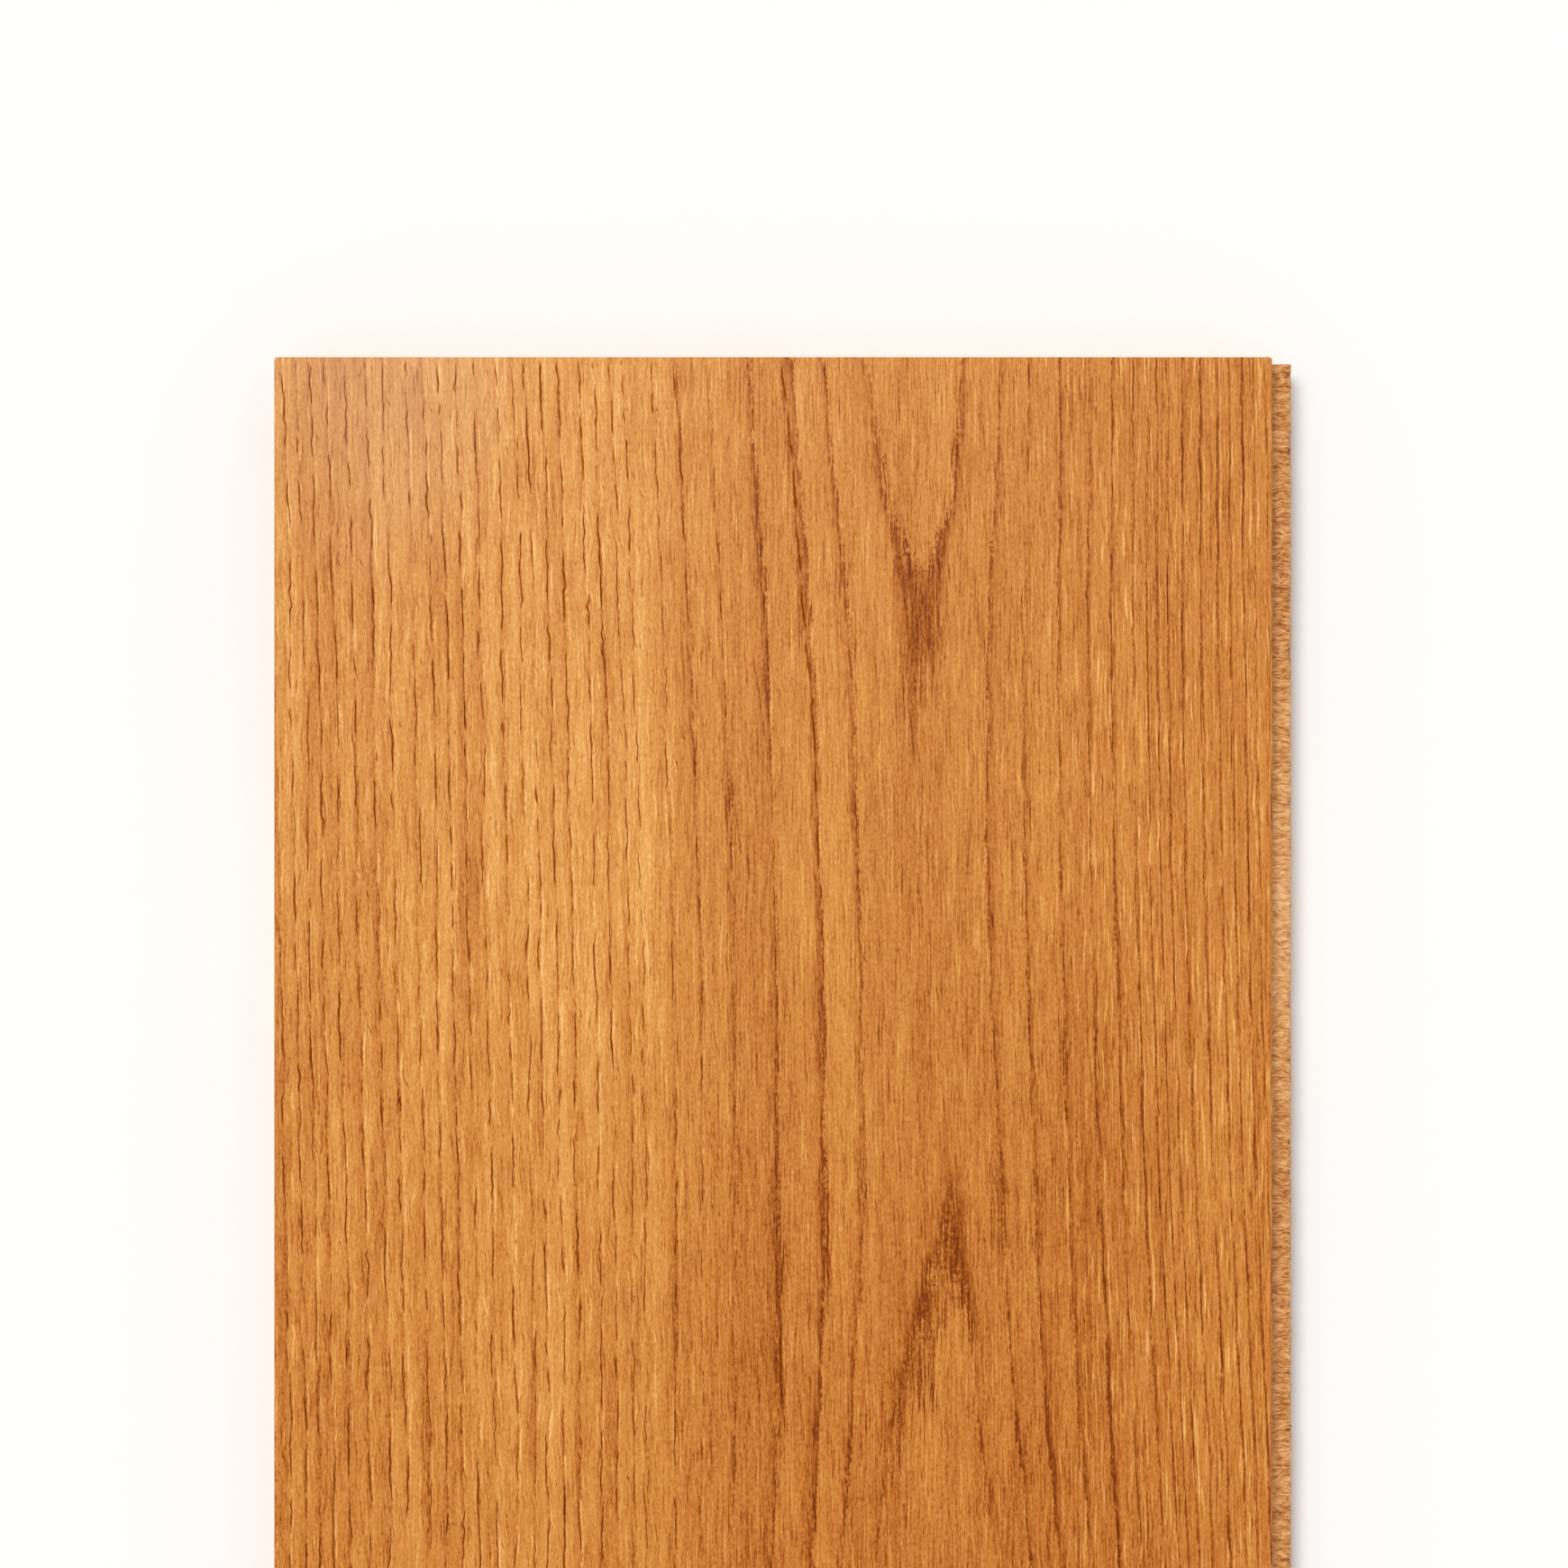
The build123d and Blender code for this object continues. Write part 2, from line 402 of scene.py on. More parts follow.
inner[at_end & ~at_side, 1] -= (np.sign(inner[:, 1]) * wear)[at_end & ~at_side]

# kind: 0 face, 1 pore, 2 wall, 3 end, 4 underside, 5 the raised right lip of a pore
verts, depth_of, lip_of, faces, kind = [], [], [], [], []
index = {}


def vert(x, y, z, pore=0.0, lip=0.0):
    key = (round(x * 2e4), round(y * 2e4), round(z * 2e4))
    if key not in index:
        index[key] = len(verts)
        verts.append((x, y, z))
        depth_of.append(pore)
        lip_of.append(lip)
    return index[key]


extra = []  # points with no groove, so that the ring field is carried closely enough
for side, q, numbers in ((-1, Q_LEFT, RING), (1, Q_RIGHT, RING_R)):
    for ring in numbers[2:-1]:
        for y in np.arange(Y0 + 5, Y1 - 3, 13.0):
            x = float(line_x(int(ring), side, y))
            if np.isfinite(x) and TOP_X0 + 0.6 < x < TOP_X1 - 0.6:
                extra.append((x, y))
for y in np.arange(Y0 + 4, Y1 - 2, 9.0):
    for x in np.arange(across(860), across(1215), 3.1):
        extra.append((x + 0.7 * math.sin(y), y + 1.5 * math.sin(x * 3)))
for y in np.arange(PHOTO_Y, Y1 - 2, 3.0):
    for x in np.arange(across(930), across(1130), 1.3):
        extra.append((x + 0.3 * math.sin(y), y + 0.8 * math.sin(x * 3)))

by_tile = [[] for _ in range(N_TILES)]
for p in pores:
    by_tile[min(N_TILES - 1, int((p[0] - Y0) / (Y1 - Y0) * N_TILES))].append(p)
cut_xs = np.linspace(inner[:, 0].min(), inner[:, 0].max(), 60)

for t in range(N_TILES):
    y_lo, y_hi = tile_edges[t], tile_edges[t + 1]
    pts, edges, flags, pore_at, lip_at = [], [], [], [], []

    def loop_in(points, low, how, lips):
        """Add a closed loop of points to the tile."""
        base = len(pts)
        pts.extend(points)
        flags.extend([low] * len(points))
        pore_at.extend([how] * len(points))
        lip_at.extend(lips)
        edges.extend((base + i, base + (i + 1) % len(points)) for i in range(len(points)))

    # this tile's rim: the outline's points between its cuts, and the cuts themselves
    on = [i for i in range(len(inner)) if y_lo - 1e-6 <= inner[i, 1] <= y_hi + 1e-6]
    rim = [tuple(inner[i]) for i in on]
    cuts = []
    for e, is_cut in ((y_lo, t > 0), (y_hi, t < N_TILES - 1)):
        if is_cut:
            ends = sorted(i[0] for i in rim if abs(i[1] - e) < 1e-6)
            cuts += [(x, e) for x in cut_xs[1:-1] if ends[0] + 0.5 < x < ends[-1] - 0.5]
    centre = np.array([cx_mid, (y_lo + y_hi) / 2])
    # the rim is walked in order of its angle on a box of the tile's own proportions
    everything = rim + cuts

    def turn(p):
        u = (p[0] - centre[0]) / half_x
        v = (p[1] - centre[1]) / ((y_hi - y_lo) / 2)
        return math.atan2(v, u)

    everything.sort(key=turn)
    n = len(everything)
    loop_in(everything, 0.0, 0.0, [0.0] * n)
    for _, xs, ys, ws, dep, dark, fine in by_tile[t]:
        m = range(1, len(xs) - 1)
        loop = [(xs[0], ys[0])] + [(xs[i] + ws[i], ys[i]) for i in m] + [(xs[-1], ys[-1])] + [(xs[i] - ws[i], ys[i]) for i in reversed(m)]
        loop_in(loop, 0.0, 0.0, [0.0] * len(loop))
        if fine and len(m) > 1 and max(ws) > 0.105:  # a wide one has rounded lips
            tips = [(xs[a] + 0.35 * (xs[b] - xs[a]), ys[a] + 0.35 * (ys[b] - ys[a])) for a, b in ((0, 1), (-1, -2))]
            loop = [tips[0]] + [(xs[i] + 0.42 * ws[i], ys[i]) for i in m] + [tips[1]] + [(xs[i] - 0.74 * ws[i], ys[i]) for i in reversed(m)]
            loop_in(loop, 0.2 * dep, 0.5 * dark, [0.0] + [1.0] * len(m) + [0.0] + [0.0] * len(m))
        base = len(pts)
        pts += [(xs[i] - 0.14 * ws[i], ys[i]) for i in m]
        flags += [dep] * len(m)
        pore_at += [dark] * len(m)
        lip_at += [0.0] * len(m)
        edges += [(base + i, base + i + 1) for i in range(len(m) - 1)]
    for x, y in extra:
        if not (y_lo + 1.2 < y < y_hi - 1.2):
            continue
        c = int(math.floor(x / COL))
        near = [r for cc in (c - 1, c, c + 1) for r in columns.get(cc, ())]
        if any(a < y < b and u - 0.25 < x < v + 0.25 for a, b, u, v in near):
            continue
        pts.append((x, y))
        flags.append(0.0)
        pore_at.append(0.0)
        lip_at.append(0.0)
    out = geometry.delaunay_2d_cdt([Vector(p) for p in pts], edges, [], 1, 1e-6)
    o_verts, _, o_faces, orig = out[0], out[1], out[2], out[3]
    ids = []
    for v, o in zip(o_verts, orig, strict=True):
        f = max([flags[i] for i in o], default=0.0)
        deep = max([pore_at[i] for i in o], default=0.0)
        x, y = pts[o[0]] if o else (v.x, v.y)
        ids.append(vert(x, y, Z_TOP - f, deep, max([lip_at[i] for i in o], default=0.0)))
    for f in o_faces:
        a = [ids[i] for i in f]
        p, q, r = (verts[i] for i in a[:3])
        if (q[0] - p[0]) * (r[1] - p[1]) - (q[1] - p[1]) * (r[0] - p[0]) < 0:
            a.reverse()
        faces.append(a)
        kind.append(5 if any(lip_of[i] > 0 for i in a) else 1 if any(depth_of[i] > 0 for i in a) else 0)
print("top faces", len(faces))

# bevel, walls and underside
n = len(inner)
levels = [(outer, Z_TOP - BEVEL), (outer, Z_TOP - 1.2), (outer, Z_TOP - 2.1), (outer, Z_BOT)]
previous = [vert(x, y, Z_TOP) for x, y in inner]
for li, (ring_pts, z) in enumerate(levels):
    current = [vert(x, y, z) for x, y in ring_pts]
    for i in range(n):
        j = (i + 1) % n
        faces.append([previous[i], current[i], current[j], previous[j]])
        mid = (ring_pts[i] + ring_pts[j]) / 2
        is_end = abs(abs(mid[1]) - half_y) < 0.2
        kind.append(0 if li == 0 else 3 if is_end else 2)
    previous = current
under = geometry.delaunay_2d_cdt([Vector(p) for p in outer], [(i, (i + 1) % n) for i in range(n)], [], 1, 1e-6)
u_ids = [vert(*outer[o[0]], Z_BOT) for o in under[3]]
for f in under[2]:
    a = [u_ids[i] for i in f]
    p, q, r = (verts[i] for i in a[:3])
    if (q[0] - p[0]) * (r[1] - p[1]) - (q[1] - p[1]) * (r[0] - p[0]) > 0:
        a.reverse()
    faces.append(a)
    kind.append(4)

V = np.array(verts)
me = bpy.data.meshes.new("oak_face")
me.from_pydata((V * MM).tolist(), [], faces)
me.update()
print("oak verts", len(verts), "tris", sum(len(f) - 2 for f in faces))
kind = np.array(kind)


def attribute(name, values):
    a = me.attributes.new(name, "FLOAT", "POINT")
    a.data.foreach_set("value", np.asarray(values, np.float32))


def tone(x, y):
    """How deep the colour is over the face, from 0 pale to 1 deep: it deepens towards the tongue side and away from the
    far end.
    """
    px = (x - X0) / UNIT + 304
    py = (Y1 - y) / UNIT + 396
    step_x = 1 / (1 + np.exp(-(px - (748 + 4 * np.sin(py / 90.0))) / 9.0))
    far_x = 1 / (1 + np.exp(-(px - 1195) / 22.0))
    at = (396, 925, 1375, 1605)
    left = np.interp(py, at, (0.33, 0.335, 0.43, 0.465))
    mid = np.interp(py, at, (0.42, 0.46, 0.55, 0.57))
    right = np.interp(py, at, (0.45, 0.49, 0.53, 0.54))
    t = left * (1 - step_x) + (mid * (1 - far_x) + right * far_x) * step_x
    t = t + 0.05 * np.clip((py - 950) / 200, 0, 1) * np.exp(-(((px - 1240) / 60) ** 2))
    t = t + 0.05 * np.exp(-(((px - 830) / 30) ** 2)) - 0.03 * np.exp(-(((px - 925) / 30) ** 2))
    t = t + 0.035 * np.clip((px - 930) / 80, 0, 1) + 0.02 * np.clip((px - 960) / 60, 0, 1) * np.clip((900 - py) / 200, 0, 1) + 0.045 * np.clip((440 - px) / 60, 0, 1) - 0.022 * np.exp(-(((px - 640) / 100) ** 2)) + 0.035 * vnoise(x / 16.0, y / 75.0, 41) + 0.03 * vnoise(x / 6.0, y / 38.0, 42)
    # past the stretch that is seen, the tone only wanders
    away = np.clip((py - 1740) / 900, 0, 1)
    far = 0.48 + 0.07 * step_x + 0.05 * vnoise(x / 40.0, y / 260.0, 43) + 0.035 * vnoise(x / 16.0, y / 75.0, 41)
    return np.clip(t * (1 - away) + far * away, 0, 1)


attribute("ring", ring_field(V[:, 0], V[:, 1], V[:, 2]))
attribute("show", shown(V[:, 0], V[:, 1]))
attribute("tone", tone(V[:, 0], V[:, 1]))
attribute("pore", depth_of)
# lip is 1 on the right lips of wide pores, which the material paints paler as a painted highlight
attribute("lip", lip_of)
quarter = np.clip(((V[:, 0] - across(1150)) / UNIT) / 70, 0, 1)
attribute("quarter", quarter)
rift = np.clip(((across(790) - V[:, 0]) / UNIT) / 120, 0, 1)
attribute("rift", rift)
raw = np.where(V[:, 2] < Z_TOP - BEVEL - 0.05, 1.0, 0.0)
attribute("raw", raw)
end = (np.abs(np.abs(V[:, 1]) - half_y) < 1e-3) & (V[:, 2] < Z_TOP - BEVEL + 0.01)
attribute("end", end.astype(float))

# Unwrapped by tile, with every groove on one strip that runs from its rim to its floor.
uv = me.uv_layers.new(name="OFBake")
loop_v = np.empty(len(me.loops), np.int64)
me.loops.foreach_get("vertex_index", loop_v)
start = np.empty(len(me.polygons), np.int64)
total = np.empty(len(me.polygons), np.int64)
me.polygons.foreach_get("loop_start", start)
me.polygons.foreach_get("loop_total", total)
loop_face = np.repeat(np.arange(len(start)), total)
P = V[loop_v]
face_mid_y = np.add.reduceat(P[:, 1], start) / total
face_mid_x = np.add.reduceat(P[:, 0], start) / total
tile = np.clip(((face_mid_y - Y0) / (Y1 - Y0) * N_TILES).astype(int), 0, N_TILES - 1)[loop_face]
k = kind[loop_face]
side_sign = np.sign(face_mid_x - cx_mid)[loop_face]
end_sign = np.sign(face_mid_y)[loop_face]
off_x = 8.0 + tile * 206.0
u = off_x + P[:, 0] - X0
v = 7.0 + P[:, 1] - (Y0 + tile * (Y1 - Y0) / N_TILES)
drop = Z_TOP - BEVEL - P[:, 2]
u = np.where(k == 2, u + side_sign * (1.2 + drop), u)
v = np.where(k == 3, v + end_sign * (1.2 + drop), v)
u = np.where((k == 1) | (k == 5), 624 + 14 * np.array(depth_of)[loop_v], u)
v = np.where(k == 1, 12 + 26 * (0.5 + 0.5 * np.sin(P[:, 1] * 0.7)), v)
v = np.where(k == 5, 42 + 12 * np.array(lip_of)[loop_v], v)
u = np.where(k == 4, 622 + (P[:, 0] - X0) * 0.08, u)
v = np.where(k == 4, 60 + (P[:, 1] - Y0) * 0.2, v)
uv.data.foreach_set("uv", (np.stack([u, v], 1) / 650.0).astype(np.float32).ravel())
oak = bpy.data.objects.new("oak_face", me)
bpy.context.scene.collection.objects.link(oak)
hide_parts("oak_wear_layer")
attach(oak, "root")


# --- the core, its milled long edges furred by the saw across the grain ------------------
core_lo, core_hi = (np.array(tuple(v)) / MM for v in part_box("cross_grain_core"))
C_BOT, C_TOP, NOSE = float(core_lo[2]), float(core_hi[2]), float(core_hi[0])
T_TOP, T_BOT, NOSE_R = Z_TOP - 4.6, Z_TOP - 9.0, 0.8
SET, BACK = 0.5, 0.8  # the lower long sides and the lower ends stand back by these


def run(a, b, n):
    """n points from a towards b, b left out."""
    return [(a[0] + (b[0] - a[0]) * i / n, a[1] + (b[1] - a[1]) * i / n) for i in range(n)]


def arc(cx, cz, r, a0, a1, n):
    return [(cx + r * math.cos(math.radians(a0 + (a1 - a0) * i / n)), cz + r * math.sin(math.radians(a0 + (a1 - a0) * i / n))) for i in range(n)]


groups = [  # the section, anticlockwise: bottom, right side with the tongue, top, left side with the groove
    run((X0 + SET, C_BOT), (X1 - SET, C_BOT), 3),
    run((X1 - SET, C_BOT), (X1 - SET, T_BOT), 3) + run((X1 - SET, T_BOT), (NOSE - NOSE_R, T_BOT), 4)
    + arc(NOSE - NOSE_R, T_BOT + NOSE_R, NOSE_R, -90, 0, 4) + run((NOSE, T_BOT + NOSE_R), (NOSE, T_TOP - NOSE_R), 4)
    + arc(NOSE - NOSE_R, T_TOP - NOSE_R, NOSE_R, 0, 90, 4) + run((NOSE - NOSE_R, T_TOP), (X1, T_TOP), 7) + run((X1, T_TOP), (X1, C_TOP), 2),
    run((X1, C_TOP), (X0, C_TOP), 3),
    run((X0, C_TOP), (X0, T_TOP + 0.4), 2) + run((X0, T_TOP + 0.4), (X0 + 0.3, T_TOP + 0.1), 1) + run((X0 + 0.3, T_TOP + 0.1), (X0 + 5, T_TOP + 0.1), 3)
    + run((X0 + 5, T_TOP + 0.1), (X0 + 5, T_TOP), 1) + run((X0 + 5, T_TOP), (X0 + 5, T_BOT - 0.1), 3)
    + run((X0 + 5, T_BOT - 0.1), (X0 + SET + 0.3, T_BOT - 0.1), 3) + run((X0 + SET + 0.3, T_BOT - 0.1), (X0 + SET, T_BOT - 0.4), 1)
    + run((X0 + SET, T_BOT - 0.4), (X0 + SET, C_BOT), 2),
]  # fmt: skip
group_of = np.concatenate([np.full(len(g), i) for i, g in enumerate(groups)])
section = np.array([q for g in groups for q in g])
n_sec = len(section)
after = np.roll(section, -1, axis=0)
before = np.roll(section, 1, axis=0)
tangent = (after - section) / np.linalg.norm(after - section, axis=1)[:, None] + (section - before) / np.linalg.norm(section - before, axis=1)[:, None]
outward = np.stack([tangent[:, 1], -tangent[:, 0]], 1) / np.linalg.norm(tangent, axis=1)[:, None]
# the points that may sink: the tongue's faces and nose, the lower side and the slot's walls
on_tongue = (section[:, 0] > X1 + 0.05)
milled = on_tongue | ((np.abs(section[:, 0] - (X1 - SET)) < 1e-6) & (section[:, 1] > C_BOT + 0.1) & (section[:, 1] < T_BOT - 0.1))
milled |= (np.abs(section[:, 0] - (X0 + SET)) < 1e-6) & (section[:, 1] > C_BOT + 0.1) & (section[:, 1] < T_BOT - 0.5)

end_y = Y1 - BACK
near_y = PHOTO_Y - 4
rows = np.concatenate([np.arange(-end_y, near_y, 2.1), np.arange(near_y, end_y - 0.2, 0.36), [end_y]])
rows[1:-1] += 0.12 * vnoise(rows[1:-1] * 5.1, rows[1:-1] * 0 + 4, 61) * np.minimum(1, np.diff(rows)[:-1])
grid_y, grid_x = np.meshgrid(rows, section[:, 0], indexing="ij")
grid_z = np.meshgrid(rows, section[:, 1], indexing="ij")[1]
curl = 0.9 * vnoise(grid_y / 2.6, grid_x / 3.0, 62)
furred = 0.5 + 0.5 * vnoise((grid_x + grid_z) / 1.7, (grid_y + curl) / 0.83, 63)
furred = 0.55 * furred + 0.45 * (0.5 + 0.5 * vnoise((grid_x - grid_z) / 0.9, grid_y / 1.37, 64))
sink = 0.02 + 0.085 * furred
at_nose = np.clip(1 - (NOSE - grid_x) / 1.1, 0, 1) * (grid_z > T_TOP - 1.6)
pits = np.clip((vnoise(grid_y / 1.15, grid_z / 2.5, 65) - 0.42) / 0.3, 0, 1)
torn = np.abs(vnoise(grid_y / 0.75, grid_z / 1.6, 66))
sink = np.where(milled[None, :], sink + (0.20 * pits + 0.10 * torn) * at_nose, 0.0)
sink *= np.where(grid_x > X1 + 0.05, np.clip((grid_x - X1) / 0.6, 0.15, 1), 0.5)
cx_, cz_ = grid_x - outward[None, :, 0] * sink, grid_z - outward[None, :, 1] * sink
cv = np.stack([cx_.ravel(), grid_y.ravel(), cz_.ravel()], 1)
cf, c_uv, c_pit = [], [], list((pits * at_nose * milled[None, :]).ravel())

# unwrapped as seven stretches side by side, the hidden top and bottom squeezed
lengths = np.linalg.norm(after - section, axis=1)
lengths = np.where(group_of == 0, 1.0, np.where(group_of == 2, 1.0, lengths))
edge_u = np.concatenate([[0.0], np.cumsum(lengths)])
C_COLS, C_WIDE, C_SIDE = 7, 44.0, 314.0
tall = 2 * end_y / C_COLS
for r in range(len(rows) - 1):
    col = min(C_COLS - 1, int(((rows[r] + rows[r + 1]) / 2 + end_y) / tall))
    u0, v0 = 2.0 + col * C_WIDE, 3.0 - (-end_y + col * tall)
    for i in range(n_sec):
        j = (i + 1) % n_sec
        cf.append((r * n_sec + i, (r + 1) * n_sec + i, (r + 1) * n_sec + j, r * n_sec + j))
        a, b, c, d = u0 + edge_u[i], u0 + edge_u[i + 1], v0 + rows[r], v0 + rows[r + 1]
        c_uv += [(a, c), (a, d), (b, d), (b, c)]
print("core rows", len(rows), "section", n_sec)

k_slot = int(np.argmin(np.hypot(section[:, 0] - (X0 + 5), section[:, 1] - T_TOP)))
k_root = int(np.argmin(np.hypot(section[:, 0] - X1, section[:, 1] - T_TOP)))
cheek = [(k_root + i) % n_sec for i in range((k_slot - k_root) % n_sec + 1)]  # up the side, over the top, into the slot
lower = [(k_slot + i) % n_sec for i in range((k_root - k_slot) % n_sec + 1)]


def cap(ids, sign, v_at):
    """A flat end face over the loop of vertices ids, facing along sign * Y."""
    pts = [Vector((cv_list[i][0], cv_list[i][2])) for i in ids]
    res = geometry.delaunay_2d_cdt(pts, [(i, (i + 1) % len(pts)) for i in range(len(pts))], [], 1, 1e-7)
    back_to = [ids[o[0]] for o in res[3]]
    for f in res[2]:
        t3 = [back_to[i] for i in f]
        (ax, _, az), (bx, _, bz), (cx3, _, cz3) = (cv_list[i] for i in t3[:3])
        turn_up = (bx - ax) * (cz3 - az) - (bz - az) * (cx3 - ax)
        if turn_up * sign > 0:  # anticlockwise in x, z faces -Y
            t3.reverse()
        cf.append(tuple(t3))
        c_uv.extend((3.0 + cv_list[i][0] - X0, v_at + cv_list[i][2] - C_BOT) for i in t3)


cv_list = [tuple(v) for v in cv]
for sign, r, v_at in ((-1, 0, 279.0), (1, len(rows) - 1, 294.0)):
    base = len(cv_list)
    cv_list += [(section[i][0], sign * Y1, section[i][1]) for i in cheek]
    c_pit += [0.0] * len(cheek)
    cap([r * n_sec + i for i in lower], sign, v_at)
    cap([base + i for i in range(len(cheek))], sign, v_at)
    for a in range(len(cheek)):
        b = (a + 1) % len(cheek)
        quad = (r * n_sec + cheek[a], base + a, base + b, r * n_sec + cheek[b])
        cf.append(quad if sign > 0 else quad[::-1])
        c_uv += [(210.0 + 2 * (q % 7), v_at + sign) for q in range(4)]

cme = bpy.data.meshes.new("core_wood")
cme.from_pydata((np.array(cv_list) * MM).tolist(), [], cf)
cme.update()
a = cme.attributes.new("pit", "FLOAT", "POINT")
a.data.foreach_set("value", np.asarray(c_pit, np.float32))
c_py = (Y1 - np.array(cv_list)[:, 1]) / UNIT + 396
a = cme.attributes.new("light", "FLOAT", "POINT")  # a paler stretch of the tongue
a.data.foreach_set("value", (np.exp(-(((c_py - 1000) / 190) ** 2))).astype(np.float32))
cuv = cme.uv_layers.new(name="OFBake")
cuv.data.foreach_set("uv", (np.array(c_uv, np.float32) / C_SIDE).ravel())
core = bpy.data.objects.new("core_wood", cme)
bpy.context.scene.collection.objects.link(core)
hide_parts("cross_grain_core")
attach(core, "root")
print("core verts", len(cv_list), "tris", sum(len(f) - 2 for f in cf))


# --- materials --------------------------------------------------------------------------
class Nodes:
    """Short names for building a node tree."""

    def __init__(self, name):
        self.mat = bpy.data.materials.new(name)
        self.mat.use_nodes = True
        self.t = self.mat.node_tree
        self.bsdf = next(n for n in self.t.nodes if n.type == "BSDF_PRINCIPLED")

    def node(self, kind, **inputs):
        n = self.t.nodes.new(kind)
        for key, value in inputs.items():
            self.put(n, key, value)
        return n

    def put(self, n, key, value):
        sock = n.inputs[int(key[1:])] if key[0] == "i" and key[1:].isdigit() else n.inputs[key.replace("_", " ")]
        if isinstance(value, bpy.types.NodeSocket):
            self.t.links.new(value, sock)
        else:
            sock.default_value = value

    def attr(self, name):
        n = self.t.nodes.new("ShaderNodeAttribute")
        n.attribute_name = name
        return n.outputs["Fac"]

    def place(self):
        return self.t.nodes.new("ShaderNodeTexCoord").outputs["Object"]

    def math(self, op, a, b=None, c=None, clamp=False):
        n = self.t.nodes.new("ShaderNodeMath")
        n.operation = op
        n.use_clamp = clamp
        for i, value in enumerate((a, b, c)):
            if value is not None:
                self.put(n, f"i{i}", value)
        return n.outputs[0]

    def sheared(self, place, k):
        """Coordinates whose length along the board also grows across it, k for 1."""
        a = self.t.nodes.new("ShaderNodeSeparateXYZ")
        self.t.links.new(place, a.inputs[0])
        b = self.t.nodes.new("ShaderNodeCombineXYZ")
        self.t.links.new(a.outputs[0], b.inputs[0])
        self.t.links.new(self.math("MULTIPLY_ADD", a.outputs[0], k, a.outputs[1]), b.inputs[1])
        self.t.links.new(a.outputs[2], b.inputs[2])
        return b.outputs[0]

    def scaled(self, place, sx, sy, sz=1.0, turn=0.0, shift=(0, 0, 0)):
        """Coordinates in lattice cells of sx, sy, sz millimetres."""
        n = self.t.nodes.new("ShaderNodeMapping")
        n.vector_type = "POINT"
        self.t.links.new(place, n.inputs["Vector"])
        n.inputs["Scale"].default_value = (1000 / sx, 1000 / sy, 1000 / sz)
        n.inputs["Rotation"].default_value = (0, 0, 0)
        n.inputs["Location"].default_value = shift
        if turn:
            r = self.t.nodes.new("ShaderNodeVectorRotate")
            r.rotation_type = "Z_AXIS"
            self.t.links.new(place, r.inputs["Vector"])
            r.inputs["Angle"].default_value = turn
            self.t.links.new(r.outputs[0], n.inputs["Vector"])
        return n.outputs[0]

    def noise(self, vector, detail=1.0, rough=0.5, distort=0.0):
        n = self.t.nodes.new("ShaderNodeTexNoise")
        n.inputs["Scale"].default_value = 1.0
        n.inputs["Detail"].default_value = detail
        n.inputs["Roughness"].default_value = rough
        n.inputs["Distortion"].default_value = distort
        self.t.links.new(vector, n.inputs["Vector"])
        return n.outputs[0]

    def range(self, value, a, b, c=0.0, d=1.0, smooth=False):
        n = self.t.nodes.new("ShaderNodeMapRange")
        n.interpolation_type = "SMOOTHSTEP" if smooth else "LINEAR"
        self.put(n, "Value", value)
        for key, x in (("From Min", a), ("From Max", b), ("To Min", c), ("To Max", d)):
            n.inputs[key].default_value = x
        return n.outputs[0]

    def mix(self, fac, a, b):
        n = self.t.nodes.new("ShaderNodeMix")
        n.data_type = "RGBA"
        for i, value in ((0, fac), (6, a), (7, b)):
            if isinstance(value, bpy.types.NodeSocket):
                self.t.links.new(value, n.inputs[i])
            else:
                n.inputs[i].default_value = value if i == 0 else (*value, 1.0)
        return n.outputs[2]

    def ramp(self, value, stops):
        n = self.t.nodes.new("ShaderNodeValToRGB")
        self.t.links.new(value, n.inputs[0])
        e = n.color_ramp.elements
        while len(e) > 1:
            e.remove(e[-1])
        for i, (pos, col) in enumerate(stops):
            x = e[0] if i == 0 else e.new(pos)
            x.position = pos
            x.color = (*col, 1.0) if len(col) == 3 else col
        return n.outputs[0]

    def blob(self, place, cx, cy, rx, ry, lean):
        """A soft spot with its middle and half sizes on the drawing scale, 1 in its middle."""
        n = self.t.nodes.new("ShaderNodeMapping")
        n.vector_type = "TEXTURE"
        self.t.links.new(place, n.inputs["Vector"])
        n.inputs["Location"].default_value = (float(across(cx)) * MM, float(along(cy)) * MM, 0)
        n.inputs["Rotation"].default_value = (0, 0, math.atan(lean))
        n.inputs["Scale"].default_value = (rx * UNIT * MM, ry * UNIT * MM, 1.0)
        g = self.t.nodes.new("ShaderNodeTexGradient")
        g.gradient_type = "SPHERICAL"
        self.t.links.new(n.outputs[0], g.inputs["Vector"])
        return g.outputs["Fac"]

    def bump(self, height, distance, strength=1.0):
        n = self.t.nodes.new("ShaderNodeBump")
        n.inputs["Distance"].default_value = distance
        n.inputs["Strength"].default_value = strength
        self.t.links.new(height, n.inputs["Height"])
        return n.outputs[0]


def srgb(r, g, b, gain=1.0):
    return tuple(gain * ((c / 255 + 0.055) / 1.055) ** 2.4 if c > 10 else c / 255 / 12.92 for c in (r, g, b))


def wood(r, g, b):
    """The wood's own colour where it looks r, g, b under the studio light and its lacquer."""
    return tuple(max((c - 0.0055) / 1.06, 0.0015) for c in srgb(r, g, b))


